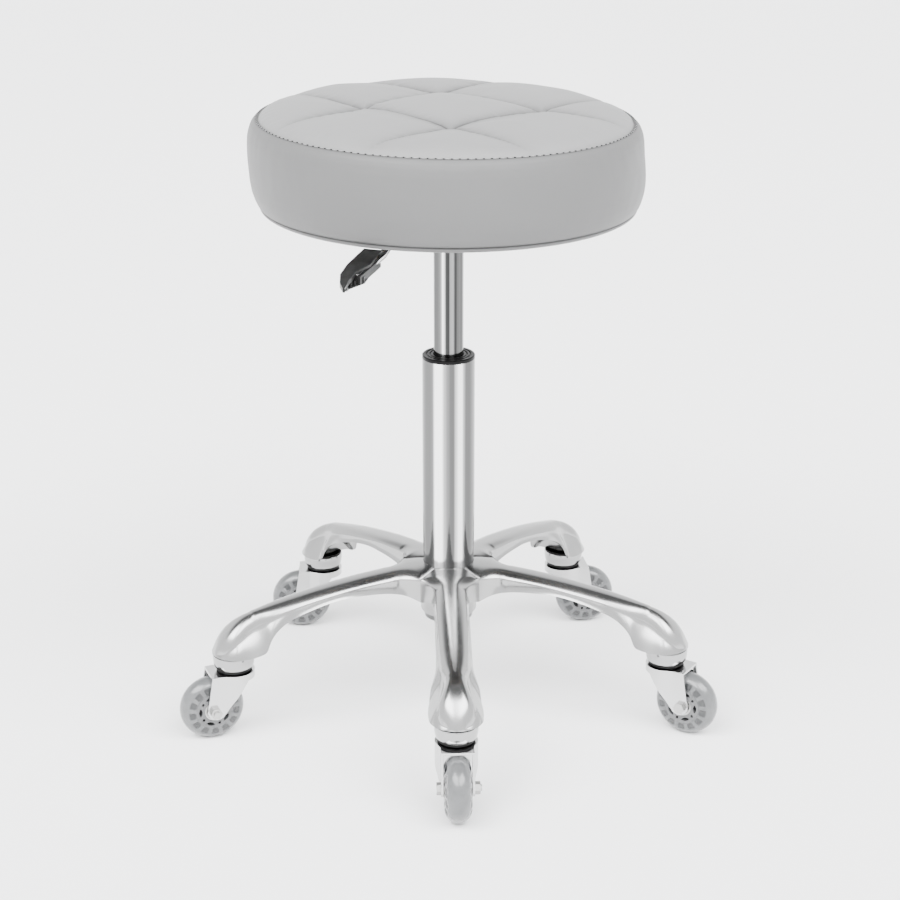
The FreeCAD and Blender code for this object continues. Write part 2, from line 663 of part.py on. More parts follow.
def fork_body(name):
    body = new_body(name)
    half, head, tail = size("fork_half_width"), size("fork_head_radius"), size("fork_tail")
    top, sheet_thickness, trail = size("fork_plate_top"), size("fork_sheet"), size("caster_trail")
    ear, flare, tangent_x = 32.0, 14.0, 4.0
    floor = 20.0

    def plan(label, inset, height):
        tangent_y = math.sqrt(float(head - inset) ** 2 - tangent_x ** 2)
        points = [(ear, -(half - inset)), (ear, half - inset), (flare, half - inset), (tangent_x, tangent_y),
                  (tangent_x, -tangent_y), (flare, -(half - inset))]
        return outline(body, label, points, arcs={3: (-(head - inset), 0.0)}, plane="XY_Plane", offset=height)

    pad(body, "block", plan("outer_plan", 0.0, Size(floor, "20.0")), top - floor)
    core = body.newObject("PartDesign::Pocket", "core")
    core.Profile = plan("inner_plan", sheet_thickness, Size(floor, "20.0"))
    bind(core, "Length", top - floor - sheet_thickness)
    core.Reversed = True
    eye, axle = size("fork_eye_radius"), size("wheel_radius")
    side = [(tail, top + 1.0), (60.0, top + 1.0), (60.0, 10.0), (-30.0, 10.0), (-30.0, 60.0), (-9.0, 60.0),
            (8.3, 36.0), (trail - 9.0, axle - 5.0), (trail + eye, axle)]
    arcs = {7: (trail - 0.6, axle - eye - 0.8)}
    trim = outline(body, "side_trim", side, arcs=arcs)
    pocket_through(body, "legs", trim)
    spots = ring_sketch(body, "axle_hole", [(trail, axle, size("axle_radius"))], plane="XZ_Plane")
    pocket_through(body, "axle_drill", spots)
    stem_hole = ring_sketch(body, "stem_hole", [(0.0, 0.0, size("stem_neck_radius") + 0.08)])
    body.Tip = pocket_through(body, "stem_drill", stem_hole)
    return body


def fork(label, placement):
    """Pressed fork, with the arch of its tail wall over the wheel."""
    body = fork_body(label + "_pressing")
    half, tail, sheet_thickness = size("fork_half_width"), size("fork_tail"), size("fork_sheet")
    inner, under = half - sheet_thickness, size("fork_plate_top") - sheet_thickness
    arch = new_body(label + "_arch")
    points = [(-inner, under - inner), (-inner, under), (inner, under), (inner, under - inner)]
    web = outline(arch, "arch_outline", points, arcs={3: (0.0, under - 0.4)}, plane="YZ_Plane",
                  offset=tail - sheet_thickness - 0.5)
    pad(arch, "web", web, sheet_thickness)
    whole = doc.addObject("Part::MultiFuse", label)
    whole.Shapes = [body, arch]
    return node(whole, label, placement)


def wheel_pieces(label, placement):
    radius, half, bore = size("wheel_radius"), size("wheel_width") / 2, size("tyre_bore")
    face, race, axle = size("hub_face_half"), size("bearing_radius"), size("axle_radius")
    width = size("bearing_width")
    mid = 40.0
    tyre = turned(label + "_tyre", [(bore, mid - half), (bore, mid + half)], arcs={1: (radius, mid)})
    axis = placement.multiply(Placement(Vector(float(size("caster_trail")), 0, float(radius)),
                                        Rotation(Vector(1, 0, 0), -90)))
    axis = axis.multiply(Placement(Vector(0, 0, -mid), Rotation()))
    node(tyre, label + "_tyre", axis)

    inner_face = face - width
    hub = turned(label + "_hub", [(axle + 2.5, mid - inner_face), (race, mid - inner_face), (race, mid - face),
                                  (bore, mid - face), (bore, mid + face), (race, mid + face),
                                  (race, mid + inner_face), (axle + 2.5, mid + inner_face)])
    lens_reach, lens_half, lens_bulge = 13.6, 4.4, 1.8
    lens = outline(hub, "lens", [(lens_reach, -lens_half), (lens_reach, lens_half)],
                   arcs={0: (lens_reach + lens_bulge, 0.0), 1: (lens_reach - lens_bulge, 0.0)}, plane="XY_Plane")
    window = pocket_through(hub, "lens_cut", lens)
    polar(hub, "lens_cuts", window, 5)
    turn = math.radians(36.0)
    small = ring_sketch(hub, "small_hole", [(lens_reach * math.cos(turn), lens_reach * math.sin(turn), 1.4)])
    drill = pocket_through(hub, "small_drill", small)
    polar(hub, "small_drills", drill, 5)
    node(hub, label + "_hub", axis)

    rings = []
    for side in (-1, 1):
        near, far = mid + side * inner_face, mid + side * face
        low, high = (near, far) if side > 0 else (far, near)
        dish, standing_proud = 0.7, 0.95
        rings.append(bearing_ring(label, side, axle + 0.03, race, low, high, dish, standing_proud))
    group = doc.addObject("Part::Compound", label + "_bearings")
    group.Links = rings
    node(group, label + "_bearings", axis)


def bearing_ring(label, side, bore, race, low, high, dish, proud):
    """A small ball bearing as one ring: shield dished outwards, inner race standing proud."""
    inner_lip, outer_lip = bore + 2.0, race - 1.6
    if side < 0:
        points = [(bore, low - proud), (inner_lip, low - proud), (inner_lip, low + dish), (outer_lip, low + dish),
                  (outer_lip, low), (race, low), (race, high), (bore, high)]
    else:
        points = [(bore, low), (race, low), (race, high), (outer_lip, high), (outer_lip, high - dish),
                  (inner_lip, high - dish), (inner_lip, high + proud), (bore, high + proud)]
    return turned(label + "_ring", points)


def caster(side, arm, trail_direction):
    label = "caster_" + side
    reach = float(size("stem_circle"))
    heading = arm_heading(arm)
    stem_place = at_heading(heading, reach)
    fork_place = Placement(stem_place.Base, Rotation(Vector(0, 0, 1), trail_direction - 90.0))
    cup, floor, top = size("cup_radius"), size("cup_floor"), size("cup_top")
    neck = size("stem_neck_radius")
    node(turned(label + "_cup", [(neck, floor), (cup - 3.0, floor), (cup, floor + 3.5), (cup, top - 0.8),
                                 (cup - 0.8, top), (neck, top)],
                arcs={1: (cup - 0.75, floor + 1.3)}), label + "_cup", stem_place)
    fork(label + "_fork", fork_place)
    wheel_pieces(label, fork_place)
    trail, axle_height = float(size("caster_trail")), float(size("wheel_radius"))
    half, axle = float(size("fork_half_width")), size("axle_radius")
    across = fork_place.multiply(Placement(Vector(trail, 0, axle_height), Rotation(Vector(1, 0, 0), -90)))
    shank = doc.addObject("Part::Cylinder", "axle_shank")
    bind(shank, "Radius", axle)
    shank.Height = 2 * half + 6.5
    shank.Placement = Placement(Vector(0, 0, -half), Rotation())
    head = hexagon("axle_head", 10.0, 4.0, Placement(Vector(0, 0, -half - 4.0), Rotation()))
    bolt = doc.addObject("Part::Fuse", label + "_axle_bolt")
    bolt.Base, bolt.Tool = head, shank
    node(bolt, label + "_axle_bolt", across)
    nut_block = hexagon("nut_block", 10.0, 5.0, Placement(Vector(0, 0, half), Rotation()))
    nut_bore = doc.addObject("Part::Cylinder", "nut_bore")
    bind(nut_bore, "Radius", axle)
    nut_bore.Height = 20.0
    nut_bore.Placement = Placement(Vector(0, 0, half - 5.0), Rotation())
    nut = doc.addObject("Part::Cut", label + "_axle_nut")
    nut.Base, nut.Tool = nut_block, nut_bore
    node(nut, label + "_axle_nut", across)


def caster_stems():
    """The five grip-ring stems, headed over under the fork plates."""
    radius, neck, top = size("stem_radius"), size("stem_neck_radius"), size("stem_top")
    under = size("fork_plate_top") - size("fork_sheet") - 0.1
    cup_top = size("cup_top")
    stems = []
    for arm in range(ARMS):
        stem = turned("caster_stem", [(0.0, under - 2.2), (5.0, under - 2.2), (6.5, under - 1.2), (6.5, under),
                                      (neck, under), (neck, cup_top), (radius, cup_top), (radius, top - 9.0),
                                      (radius - 0.8, top - 9.0), (radius - 0.8, top - 6.0),
                                      (radius, top - 6.0), (radius, top - 1.5), (radius - 1.5, top), (0.0, top)])
        stem.Placement = at_heading(arm_heading(arm), float(size("stem_circle")))
        stems.append(stem)
    group = doc.addObject("Part::Compound", "caster_stems")
    group.Links = stems
    node(group, "caster_stems")


star_base()
column()
piston()
cylinder()
seat()
seat_plate()
lever()
caster_stems()
for caster_side, (caster_arm, caster_direction) in CASTERS.items():
    caster(caster_side, caster_arm, caster_direction)
doc.recompute()

faults = [o.Name for o in doc.Objects if "Invalid" in o.State or "Error" in o.State]
if faults:
    raise RuntimeError("objects that did not build: " + ", ".join(faults))
os.makedirs("parts", exist_ok=True)
for piece in NODES:
    if piece.Shape.isNull() or not piece.Shape.isValid():
        raise RuntimeError("bad shape: " + piece.Label)
    piece.Shape.exportStep("parts/" + piece.Label + ".step")
print(len(NODES), "pieces written")
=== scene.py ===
"""Looks of the pedicure stool: quilted leatherette seat, chrome gas lift, star base, casters.

Lengths are in millimetres until they are multiplied by MM; the stage's are in metres.
"""
import json
import math

import bmesh
import bpy
from mathutils import Matrix, Vector, noise


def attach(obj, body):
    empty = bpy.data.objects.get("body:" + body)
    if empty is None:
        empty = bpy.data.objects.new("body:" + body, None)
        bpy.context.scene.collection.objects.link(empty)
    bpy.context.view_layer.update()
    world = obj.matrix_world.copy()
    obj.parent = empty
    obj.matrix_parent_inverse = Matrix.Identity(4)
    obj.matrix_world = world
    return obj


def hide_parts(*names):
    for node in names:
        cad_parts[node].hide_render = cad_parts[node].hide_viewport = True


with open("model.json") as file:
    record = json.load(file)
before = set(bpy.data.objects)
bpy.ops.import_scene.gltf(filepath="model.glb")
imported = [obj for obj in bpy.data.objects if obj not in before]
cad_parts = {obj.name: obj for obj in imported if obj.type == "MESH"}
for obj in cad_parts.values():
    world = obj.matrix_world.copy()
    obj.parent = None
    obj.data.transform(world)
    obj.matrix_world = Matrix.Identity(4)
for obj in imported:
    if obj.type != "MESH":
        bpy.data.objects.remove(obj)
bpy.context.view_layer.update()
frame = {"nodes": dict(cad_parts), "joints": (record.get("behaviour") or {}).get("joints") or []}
MM = 0.001
FIRST_ARM = math.radians(-90.0 + 1.83)
ARM_STEP = math.radians(72.0)
CASTERS = ("front", "right", "rear_right", "rear_left", "left")
SHARP_CORNER = math.radians(32.0)       # a steeper step between two faces stays a sharp line


# ---------------------------------------------------------------- materials

WHITE = (1.0, 1.0, 1.0)
EDGE = 0.4 * MM                          # how far a bevel shader rounds a part's edges
SMUDGES, FINE_GRAIN = 38.0, 900.0        # noise scales, in cells per metre


class Nodes:
    """Short calls for building one material's node tree."""

    def __init__(self, name):
        self.material = bpy.data.materials.new(name)
        self.material.use_nodes = True
        self.tree = self.material.node_tree
        self.shader = self.tree.nodes["Principled BSDF"]
        self.place = self.make("ShaderNodeTexCoord").outputs["Object"]

    def make(self, kind, **values):
        made = self.tree.nodes.new(kind)
        for key, value in values.items():
            setattr(made, key, value)
        return made

    def link(self, source, target):
        self.tree.links.new(source, target)

    def feed(self, socket, value):
        if isinstance(value, bpy.types.NodeSocket):
            self.link(value, socket)
        else:
            socket.default_value = value

    def set(self, **values):
        for key, value in values.items():
            self.feed(self.shader.inputs[key.replace("_", " ")], value)

    def noise(self, scale, detail, stretch=(1, 1, 1), roughness=0.5):
        """Cloudy noise, finer along the axes that are stretched."""
        mapping = self.make("ShaderNodeMapping")
        mapping.inputs["Scale"].default_value = stretch
        self.link(self.place, mapping.inputs["Vector"])
        made = self.make("ShaderNodeTexNoise")
        made.inputs["Scale"].default_value = scale
        made.inputs["Detail"].default_value = detail
        made.inputs["Roughness"].default_value = roughness
        self.link(mapping.outputs["Vector"], made.inputs["Vector"])
        return made.outputs["Fac"]

    def cells(self, scale):
        """Distance to the nearest of scattered points."""
        made = self.make("ShaderNodeTexVoronoi")
        made.inputs["Scale"].default_value = scale
        self.link(self.place, made.inputs["Vector"])
        return made.outputs["Distance"]

    def spread(self, value, low, high, start=0.3, end=0.7):
        """The value's range from start to end, mapped to low to high."""
        made = self.make("ShaderNodeMapRange")
        ends = {"From Min": start, "From Max": end, "To Min": low, "To Max": high}
        for key, number in ends.items():
            made.inputs[key].default_value = number
        self.link(value, made.inputs["Value"])
        return made.outputs["Result"]

    def maths(self, operation, first, second=0.0):
        made = self.make("ShaderNodeMath", operation=operation)
        self.feed(made.inputs[0], first)
        self.feed(made.inputs[1], second)
        return made.outputs["Value"]

    def mix(self, amount, first, second):
        made = self.make("ShaderNodeMix", data_type="RGBA")
        self.feed(made.inputs[0], amount)
        self.feed(made.inputs[6], first)
        self.feed(made.inputs[7], second)
        return made.outputs[2]

    def bump(self, height, depth, edge=0.0):
        """Fine relief of the given depth, over edges rounded by a bevel shader."""
        made = self.make("ShaderNodeBump")
        made.inputs["Distance"].default_value = depth
        self.feed(made.inputs["Height"], height)
        if edge:
            round_edge = self.make("ShaderNodeBevel", samples=6)
            round_edge.inputs["Radius"].default_value = edge
            self.link(round_edge.outputs["Normal"], made.inputs["Normal"])
        self.link(made.outputs["Normal"], self.shader.inputs["Normal"])


def grey(level, tint=WHITE):
    return tuple(level * part for part in tint) + (1.0,)


def metal(name, level, rough_low, rough_high, tint=WHITE, edge=EDGE, grain=(1, 1, 1),
          bump=0.004 * MM):
    """Polished or brushed metal, with faint smudges in its tone and gloss."""
    made = Nodes(name)
    smudge = made.noise(SMUDGES, 5.0)
    fine = made.noise(FINE_GRAIN, 2.0, grain)
    tone = made.mix(made.spread(smudge, 0.0, 1.0), grey(level * 0.965, tint), grey(level, tint))
    made.set(Base_Color=tone, Metallic=1.0, Roughness=made.spread(smudge, rough_low, rough_high))
    made.bump(fine, bump, edge)
    return made.material


def chrome_with_painted_reflections(name, bands):
    """Polished tube whose base colour carries painted reflections: a tone in soft upright bands,
    as (degrees round from its front, tone).
    """
    made = Nodes(name)
    parts = made.make("ShaderNodeSeparateXYZ")
    made.link(made.place, parts.inputs[0])
    # Painted reflections: the tone ramps by the angle round the tube from its front, in the part's
    # own coordinates.
    toward_front = made.maths("MULTIPLY", parts.outputs["Y"], -1.0)
    turn = made.maths("ARCTAN2", parts.outputs["X"], toward_front)
    share = made.maths("ADD", made.maths("DIVIDE", turn, 2 * math.pi), 0.5)
    ramp = made.make("ShaderNodeValToRGB")
    made.link(share, ramp.inputs[0])
    stops = ramp.color_ramp.elements
    stops[0].color = stops[1].color = grey(0.3)
    for degrees, tone in bands:
        stops.new(degrees / 360.0 + 0.5).color = grey(tone)
    ramp.color_ramp.interpolation = "EASE"
    smudge = made.noise(SMUDGES, 5.0)
    brushing = made.noise(420.0, 3.0, (1, 1, 0.02))
    tone = made.mix(made.spread(brushing, 0.0, 0.07), ramp.outputs["Color"], grey(0.0))
    made.set(Base_Color=tone, Metallic=1.0, Roughness=made.spread(smudge, 0.10, 0.16))
    made.bump(made.noise(FINE_GRAIN, 2.0), 0.004 * MM, EDGE)
    return made.material


def plastic(name, colour, rough, grain_depth=0.02 * MM, coat=0.0, shine=0.5):
    """Moulded plastic, rubber or paint with a fine grain."""
    made = Nodes(name)
    patches = made.noise(60.0, 4.0)
    dark = tuple(c * 0.82 for c in colour[:3]) + (1.0,)
    made.set(Base_Color=made.mix(made.spread(patches, 0.0, 1.0), dark, colour),
             Roughness=made.spread(patches, rough - 0.05, rough + 0.06),
             Coat_Weight=coat, Specular_IOR_Level=shine)
    made.bump(made.noise(2600.0, 2.0), grain_depth, EDGE)
    return made.material


def leatherette(name, level):
    """Pebbled artificial leather, with painted shade in its creases and seams, which the mesh
    marks in its crease attribute.
    """
    made = Nodes(name)
    patches = made.noise(9.0, 4.0)
    pebbles = made.cells(1150.0)
    pores = made.noise(3800.0, 2.0)
    wrinkles = made.noise(150.0, 4.0, roughness=0.6)
    warmer = grey(level * 0.965, (1.0, 1.0, 0.995))
    colour = made.mix(made.spread(patches, 0.0, 1.0), warmer, grey(level))
    colour = made.mix(made.spread(pebbles, 0.0, 0.06, 0.2, 0.75), colour, grey(level * 0.6))
    # Painted shade: the colour darkens where the mesh marks a crease or seam.
    painted_crease_shade = made.make("ShaderNodeAttribute", attribute_name="crease").outputs["Fac"]
    colour = made.mix(made.maths("MULTIPLY", painted_crease_shade, 0.85), colour, grey(level * 0.2))
    height = made.maths("ADD", made.maths("MULTIPLY", pebbles, -0.55),
                        made.maths("MULTIPLY", pores, 0.18))
    height = made.maths("ADD", height, made.maths("MULTIPLY", wrinkles, 1.1))
    made.set(Base_Color=colour, Roughness=made.spread(patches, 0.43, 0.52),
             Specular_IOR_Level=0.26)
    made.bump(height, 0.07 * MM)
    return made.material


def soft_tyre(name):
    """Slightly see-through grey polyurethane, darker where the mesh marks a "window"."""
    made = Nodes(name)
    window = made.make("ShaderNodeAttribute", attribute_name="window").outputs["Fac"]
    cloud = made.noise(70.0, 3.0)
    body = made.mix(made.spread(cloud, 0.0, 1.0),
                    (0.095, 0.098, 0.100, 1), (0.125, 0.128, 0.130, 1))
    colour = made.mix(window, body, (0.030, 0.031, 0.032, 1))
    made.set(Base_Color=colour, Roughness=made.spread(cloud, 0.16, 0.27),
             Transmission_Weight=0.12, IOR=1.49, Coat_Weight=0.35, Coat_Roughness=0.12)
    made.bump(made.noise(1200.0, 2.0), 0.01 * MM)
    return made.material


def wood(name):
    """Plain plywood with its grain along X."""
    made = Nodes(name)
    grain = made.noise(55.0, 8.0, (1.0, 14.0, 6.0), 0.65)
    colour = made.mix(made.spread(grain, 0.0, 1.0), (0.26, 0.16, 0.085, 1), (0.52, 0.37, 0.22, 1))
    made.set(Base_Color=colour, Roughness=0.62)
    made.bump(grain, 0.15 * MM)
    return made.material


def cloth(name, colour):
    """Dull woven or bonded cloth."""
    made = Nodes(name)
    waves = [made.make("ShaderNodeTexWave", bands_direction=way) for way in ("X", "Y")]
    for wave in waves:
        wave.inputs["Scale"].default_value = 330.0
        made.link(made.place, wave.inputs["Vector"])
    threads = made.maths("MULTIPLY", waves[0].outputs["Fac"], waves[1].outputs["Fac"])
    lighter = tuple(c * 1.9 for c in colour[:3]) + (1.0,)
    made.set(Base_Color=made.mix(threads, colour, lighter), Roughness=0.9)
    made.bump(threads, 0.2 * MM)
    return made.material


CHROME = metal("chrome", 0.66, 0.045, 0.09)
# Painted reflections: the light and dark upright tones of the column tube and the gas cylinder,
# set for each angle round the tube.
TUBE_CHROME_PAINTED_REFLECTIONS = chrome_with_painted_reflections("tube_chrome_painted_reflections", (
    (-150, 0.5), (-120, 0.22), (-90, 0.10), (-62, 0.105), (-44, 0.125), (-37, 0.16),
    (-30, 1.0), (-16, 1.0), (-9, 0.32), (-2, 0.16), (5, 0.095), (11, 0.095), (17, 0.44),
    (23, 0.84), (30, 0.84), (35, 0.27), (41, 0.105), (52, 0.095), (66, 0.13), (85, 0.12),
    (110, 0.30), (140, 0.7)))
CYLINDER_CHROME_PAINTED_REFLECTIONS = chrome_with_painted_reflections("cylinder_chrome_painted_reflections", (
    (-150, 0.4), (-120, 0.18), (-80, 0.05), (-66, 0.035), (-52, 0.085), (-38, 0.12),
    (-29, 0.22), (-23, 1.0), (-17, 0.6), (-10, 0.042), (1, 0.030), (7, 0.20), (18, 0.22),
    (23, 0.06), (28, 0.028), (36, 0.08), (47, 0.10), (60, 0.05), (78, 0.14), (100, 0.10),
    (140, 0.5)))
CUP_CHROME = metal("cup_chrome", 0.36, 0.06, 0.10)
FORK_CHROME = metal("fork_chrome", 0.55, 0.09, 0.17)
POLISHED = metal("polished_aluminium", 0.345, 0.19, 0.26, (1.0, 1.0, 0.995),
                 edge=0.0, grain=(1, 1, 6), bump=0.006 * MM)
STEEL = metal("zinc_steel", 0.42, 0.24, 0.36, (1.0, 0.99, 0.97), bump=0.02 * MM)
BRASS = metal("brass", 0.70, 0.22, 0.34, (1.0, 0.76, 0.38))
BLACK_PLASTIC = plastic("black_plastic", grey(0.010), 0.36, shine=0.12)
CAP_PLASTIC = plastic("cap_plastic", grey(0.006), 0.30, shine=0.08)
BLACK_PAINT = plastic("black_powder_coat", grey(0.016), 0.45, 0.06 * MM, shine=0.25)
NYLON = plastic("nylon", grey(0.68, (1.0, 0.985, 0.94)), 0.5)
# Near-black rings round each caster cup: painted shade in the gaps above and below it.
DARK_GAP_SHADE = plastic("dark_gap_shade", grey(0.006), 0.4, shine=0.15)
RUBBER = plastic("rubber", grey(0.02), 0.75, 0.05 * MM)
HUB_PLASTIC = plastic("hub_plastic", grey(0.10, (1.0, 1.01, 1.03)), 0.28, coat=0.2)
# The top and the band are lit and shaded copies of one leatherette: the band's lower level is
# painted shade on the side panel and hem.
LEATHER_TOP = leatherette("leatherette_top", 0.205)
LEATHER_BAND_PAINTED_SHADE = leatherette("leatherette_band_painted_shade", 0.112)
TYRE = soft_tyre("clear_tyre")
PLYWOOD = wood("plywood")
DUST_CLOTH = cloth("dust_cloth", (0.012, 0.012, 0.013, 1))
THREAD = cloth("thread", (0.22, 0.22, 0.22, 1))
# Dark beads in the seam: painted shade in the needle holes.
STITCH_HOLE_SHADE = plastic("stitch_hole_shade", grey(0.012), 0.8, shine=0.1)

# What isn't named here is plain steel, or is hidden by a piece shaped further down.
NODE_LOOKS = {
    "column_tube": TUBE_CHROME_PAINTED_REFLECTIONS, "pressure_cylinder": CYLINDER_CHROME_PAINTED_REFLECTIONS, "lever_rod": CHROME,
    "tube_cap": CAP_PLASTIC, "lever_grip": BLACK_PLASTIC, "seat_plate": BLACK_PAINT,
    "seat_board": PLYWOOD, "dust_cover": DUST_CLOTH, "cover_hem": LEATHER_BAND_PAINTED_SHADE,
    "guide_bush": NYLON, "bump_rubber": RUBBER, "cylinder_gland": BRASS,
}
CASTER_LOOKS = {"cup": CHROME, "fork": FORK_CHROME, "hub": HUB_PLASTIC}
for label, thing in frame["nodes"].items():
    thing.data.materials.clear()
    part = label.rpartition("_")[2]
    thing.data.materials.append(NODE_LOOKS.get(label) or CASTER_LOOKS.get(part, STEEL))


# ---------------------------------------------------------------- helpers

def mesh_piece(name, verts, faces, look, body, slot):
    """A smooth-shaded visual piece that rides on a body."""
    mesh = bpy.data.meshes.new(name)
    mesh.from_pydata(verts, [], faces)
    mesh.update()
    thing = bpy.data.objects.new(name, mesh)
    bpy.context.scene.collection.objects.link(thing)
    mesh.materials.append(look)
    mesh.shade_smooth()
    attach(thing, body)
    return thing


def revolve(profile, turns, closed=False):
    """Vertices and faces of a profile of (radius, height) turned about Z."""
    verts, faces = [], []
    count = len(profile)
    for i in range(turns):
        a = 2 * math.pi * i / turns
        verts += [(r * math.cos(a), r * math.sin(a), z) for r, z in profile]
    for i in range(turns):
        j = (i + 1) % turns
        for k in range(count if closed else count - 1):
            m = (k + 1) % count
            faces.append((i * count + k, j * count + k, j * count + m, i * count + m))
    return verts, faces


def bake_modifiers(thing):
    """Replace an object's mesh with its evaluated mesh."""
    view = bpy.context.evaluated_depsgraph_get()
    view.update()
    baked = bpy.data.meshes.new_from_object(thing.evaluated_get(view))
    old = thing.data
    thing.modifiers.clear()
    thing.data = baked
    bpy.data.meshes.remove(old)


def smooth_step(x):
    x = min(max(x, 0.0), 1.0)
    return x * x * (3 - 2 * x)


def table_value(table, x):
    """Smooth value of a table of (x, value) rows, by cubic Hermite pieces."""
    if x <= table[0][0]:
        return table[0][1]
    for i in range(len(table) - 1):
        (x0, y0), (x1, y1) = table[i], table[i + 1]
        if x <= x1:
            before = table[i - 1] if i else table[i]
            after = table[i + 2] if i + 2 < len(table) else table[i + 1]
            m0 = (y1 - before[1]) / (x1 - before[0])
            m1 = (after[1] - y0) / (after[0] - x0)
            t, width = (x - x0) / (x1 - x0), x1 - x0
            return ((2 * t ** 3 - 3 * t ** 2 + 1) * y0 + (t ** 3 - 2 * t ** 2 + t) * width * m0
                    + (3 * t ** 2 - 2 * t ** 3) * y1 + (t ** 3 - t ** 2) * width * m1)
    return table[-1][1]


# ---------------------------------------------------------------- seat

# Height of the top before it is quilted, by distance from the middle.
CROWN = [(0, 597.0), (60, 596.8), (90, 596.0), (115, 595.0), (137, 593.2), (150, 590.9),
         (160, 587.6), (166, 584.2), (169.8, 580.2)]
TOP_EDGE, TOP_EDGE_HEIGHT = 169.8, 579.4
TOP_RINGS, TOP_TURNS, BAND_TURNS = 150, 420, 360
TUFTS = [(-74.0, 2.0), (4.0, -82.0), (87.0, 5.0), (-7.0, 80.0)]
# Depth of the sewn channels, by distance from the middle.
CHANNEL_DEPTH = [(0, 4.2), (52, 4.6), (62, 5.6), (72, 7.0), (82, 7.9), (98, 6.6), (110, 5.6),
                 (125, 4.5), (140, 3.5), (155, 2.0), (164, 0.8), (170, 0.0)]
CHANNEL_REACH = 46.0                     # how far to each side a channel pulls the top down
# Side panel as (radius, height): the top seam, the swell, the bottom seam and the turned hem.
BAND = [(169.6, 580.6), (171.6, 581.0), (173.8, 579.6), (176.0, 577.0), (177.8, 572.6),
        (179.3, 566.0), (180.2, 557.0), (180.7, 547.0), (180.6, 538.0), (180.0, 528.0),
        (178.6, 519.0), (176.6, 511.5), (174.9, 507.6), (173.9, 506.0), (172.5, 504.9),
        (173.0, 503.9), (172.2, 501.8), (169.6, 500.4), (164.5, 500.4), (161.0, 503.0)]
TOP_SEAM, BOTTOM_SEAM = 580.8, 505.0
STITCH_PITCH, STITCH_RADIUS = 6.7, 171.3
BEAD_RINGS, BEAD_SIDES = 6, 5            # how finely a stitch or needle hole is meshed


def lean(x, z):
    """The cover sits a little off the level and off centre, more at the top than at the bottom."""
    share = smooth_step((z - 505.0) / 62.0)
    return x - 2.3 * share, z - x * (0.006 + 0.010 * share)


def channel_lines():
    """The sewn channels through neighbouring tufts, as (tuft, direction, distance between)."""
    lines = []
    for i in range(len(TUFTS)):
        a, b = Vector(TUFTS[i]), Vector(TUFTS[(i + 1) % len(TUFTS)])
        lines.append((a, (b - a).normalized(), (b - a).length))
    return lines


CHANNELS = channel_lines()


def channel_pull(x, y):
    """How far the sewn channels pull the top down, and how deep in a crease the point is, which
    sets the painted shade there.
    """
    place = Vector((x, y))
    depth = table_value(CHANNEL_DEPTH, place.length)
    total, painted_crease_shade = 0.0, 0.0
    for k, (start, along, length) in enumerate(CHANNELS):
        offset = place - start
        run = offset.dot(along)
        near_tuft = min(abs(run), abs(run - length))
        wander = 0.8 * noise.noise(Vector((run * 0.05, 3.0 * k, 0.0)))
        across = abs(offset.cross(along) - wander * smooth_step(near_tuft / 20.0))
        puckers = 0.14 * noise.noise(Vector((run * 0.15, 5.0 * k, across * 0.03)))
        beside = math.exp(-(across / 12.0) ** 2) * (1 - math.exp(-(across / 1.5) ** 2))
        dome = max(1.0 - across / CHANNEL_REACH, 0.0) ** 1.5
        total += (depth * dome * (1.0 + puckers * beside)
                  + 0.20 * depth * math.exp(-across / 2.6)) ** 5
        # Painted shade: a thin dark line along each channel and a wider soft shade beside it.
        painted_crease_shade = max(painted_crease_shade, depth / 5.0 * math.exp(-(across / 1.2) ** 2),
                   0.62 * depth / 6.0 * math.exp(-across / 5.5))
    return total ** 0.2, min(painted_crease_shade, 1.0)


def seat_height(x, y):
    """Height of the quilted top: the crown less its channels and tufts, with slight ripples."""
    r = math.hypot(x, y)
    drop = channel_pull(x, y)[0]
    for tx, ty in TUFTS:
        gap = math.hypot(x - tx, y - ty)
        angle = math.atan2(y - ty, x - tx)
        drop += 1.2 * math.exp(-(gap / 4.5) ** 2)
        drop += 0.22 * math.sin(9 * angle + 40 * tx) * math.exp(-((gap - 12.0) / 7.0) ** 2)
    ripple = noise.noise(Vector((x * 0.018, y * 0.018, 3.1))) * 0.9
    ripple *= 1.0 - smooth_step((r - 140.0) / 28.0)
    pucker = 0.0
    if r > 146:
        turn = math.atan2(y, x)
        pucker = 0.35 * noise.noise(Vector((turn * 26.0, r * 0.05, 9.0)))
        pucker *= smooth_step((r - 146) / 20)
    return table_value(CROWN, r) + ripple - drop + pucker


def mark_painted_crease_shade(thing, painted_crease_shades):
    """Keep how deep in a crease each vertex is, for the painted shade in the leatherette's colour.
    """
    marks = thing.data.attributes.new("crease", "FLOAT", "POINT")
    marks.data.foreach_set("value", painted_crease_shades)


def seat_top():
    """The quilted top panel, out to the seam."""
    rings, turns = TOP_RINGS, TOP_TURNS
    verts = [(0.0, 0.0, seat_height(0.0, 0.0) * MM)]
    for i in range(1, rings + 1):
        r = TOP_EDGE * (i / rings) ** 0.93
        for j in range(turns):
            a = 2 * math.pi * j / turns
            x, y = r * math.cos(a), r * math.sin(a)
            z = seat_height(x, y) if i < rings else TOP_EDGE_HEIGHT
            verts.append((x * MM, y * MM, z * MM))
    faces = [(0, 1 + j, 1 + (j + 1) % turns) for j in range(turns)]
    for i in range(rings - 1):
        low, high = 1 + i * turns, 1 + (i + 1) * turns
        for j in range(turns):
            k = (j + 1) % turns
            faces.append((low + j, high + j, high + k, low + k))
    painted_crease_shades = [channel_pull(x / MM, y / MM)[1] for x, y, z in verts]
    leaned = []
    for x, y, z in verts:
        x, z = lean(x / MM, z / MM)
        leaned.append((x * MM, y, z * MM))
    top = mesh_piece("seat_cover_top", leaned, faces, LEATHER_TOP, "seat", "leatherette")
    mark_painted_crease_shade(top, painted_crease_shades)
    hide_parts("seat_cover", "seat_foam")


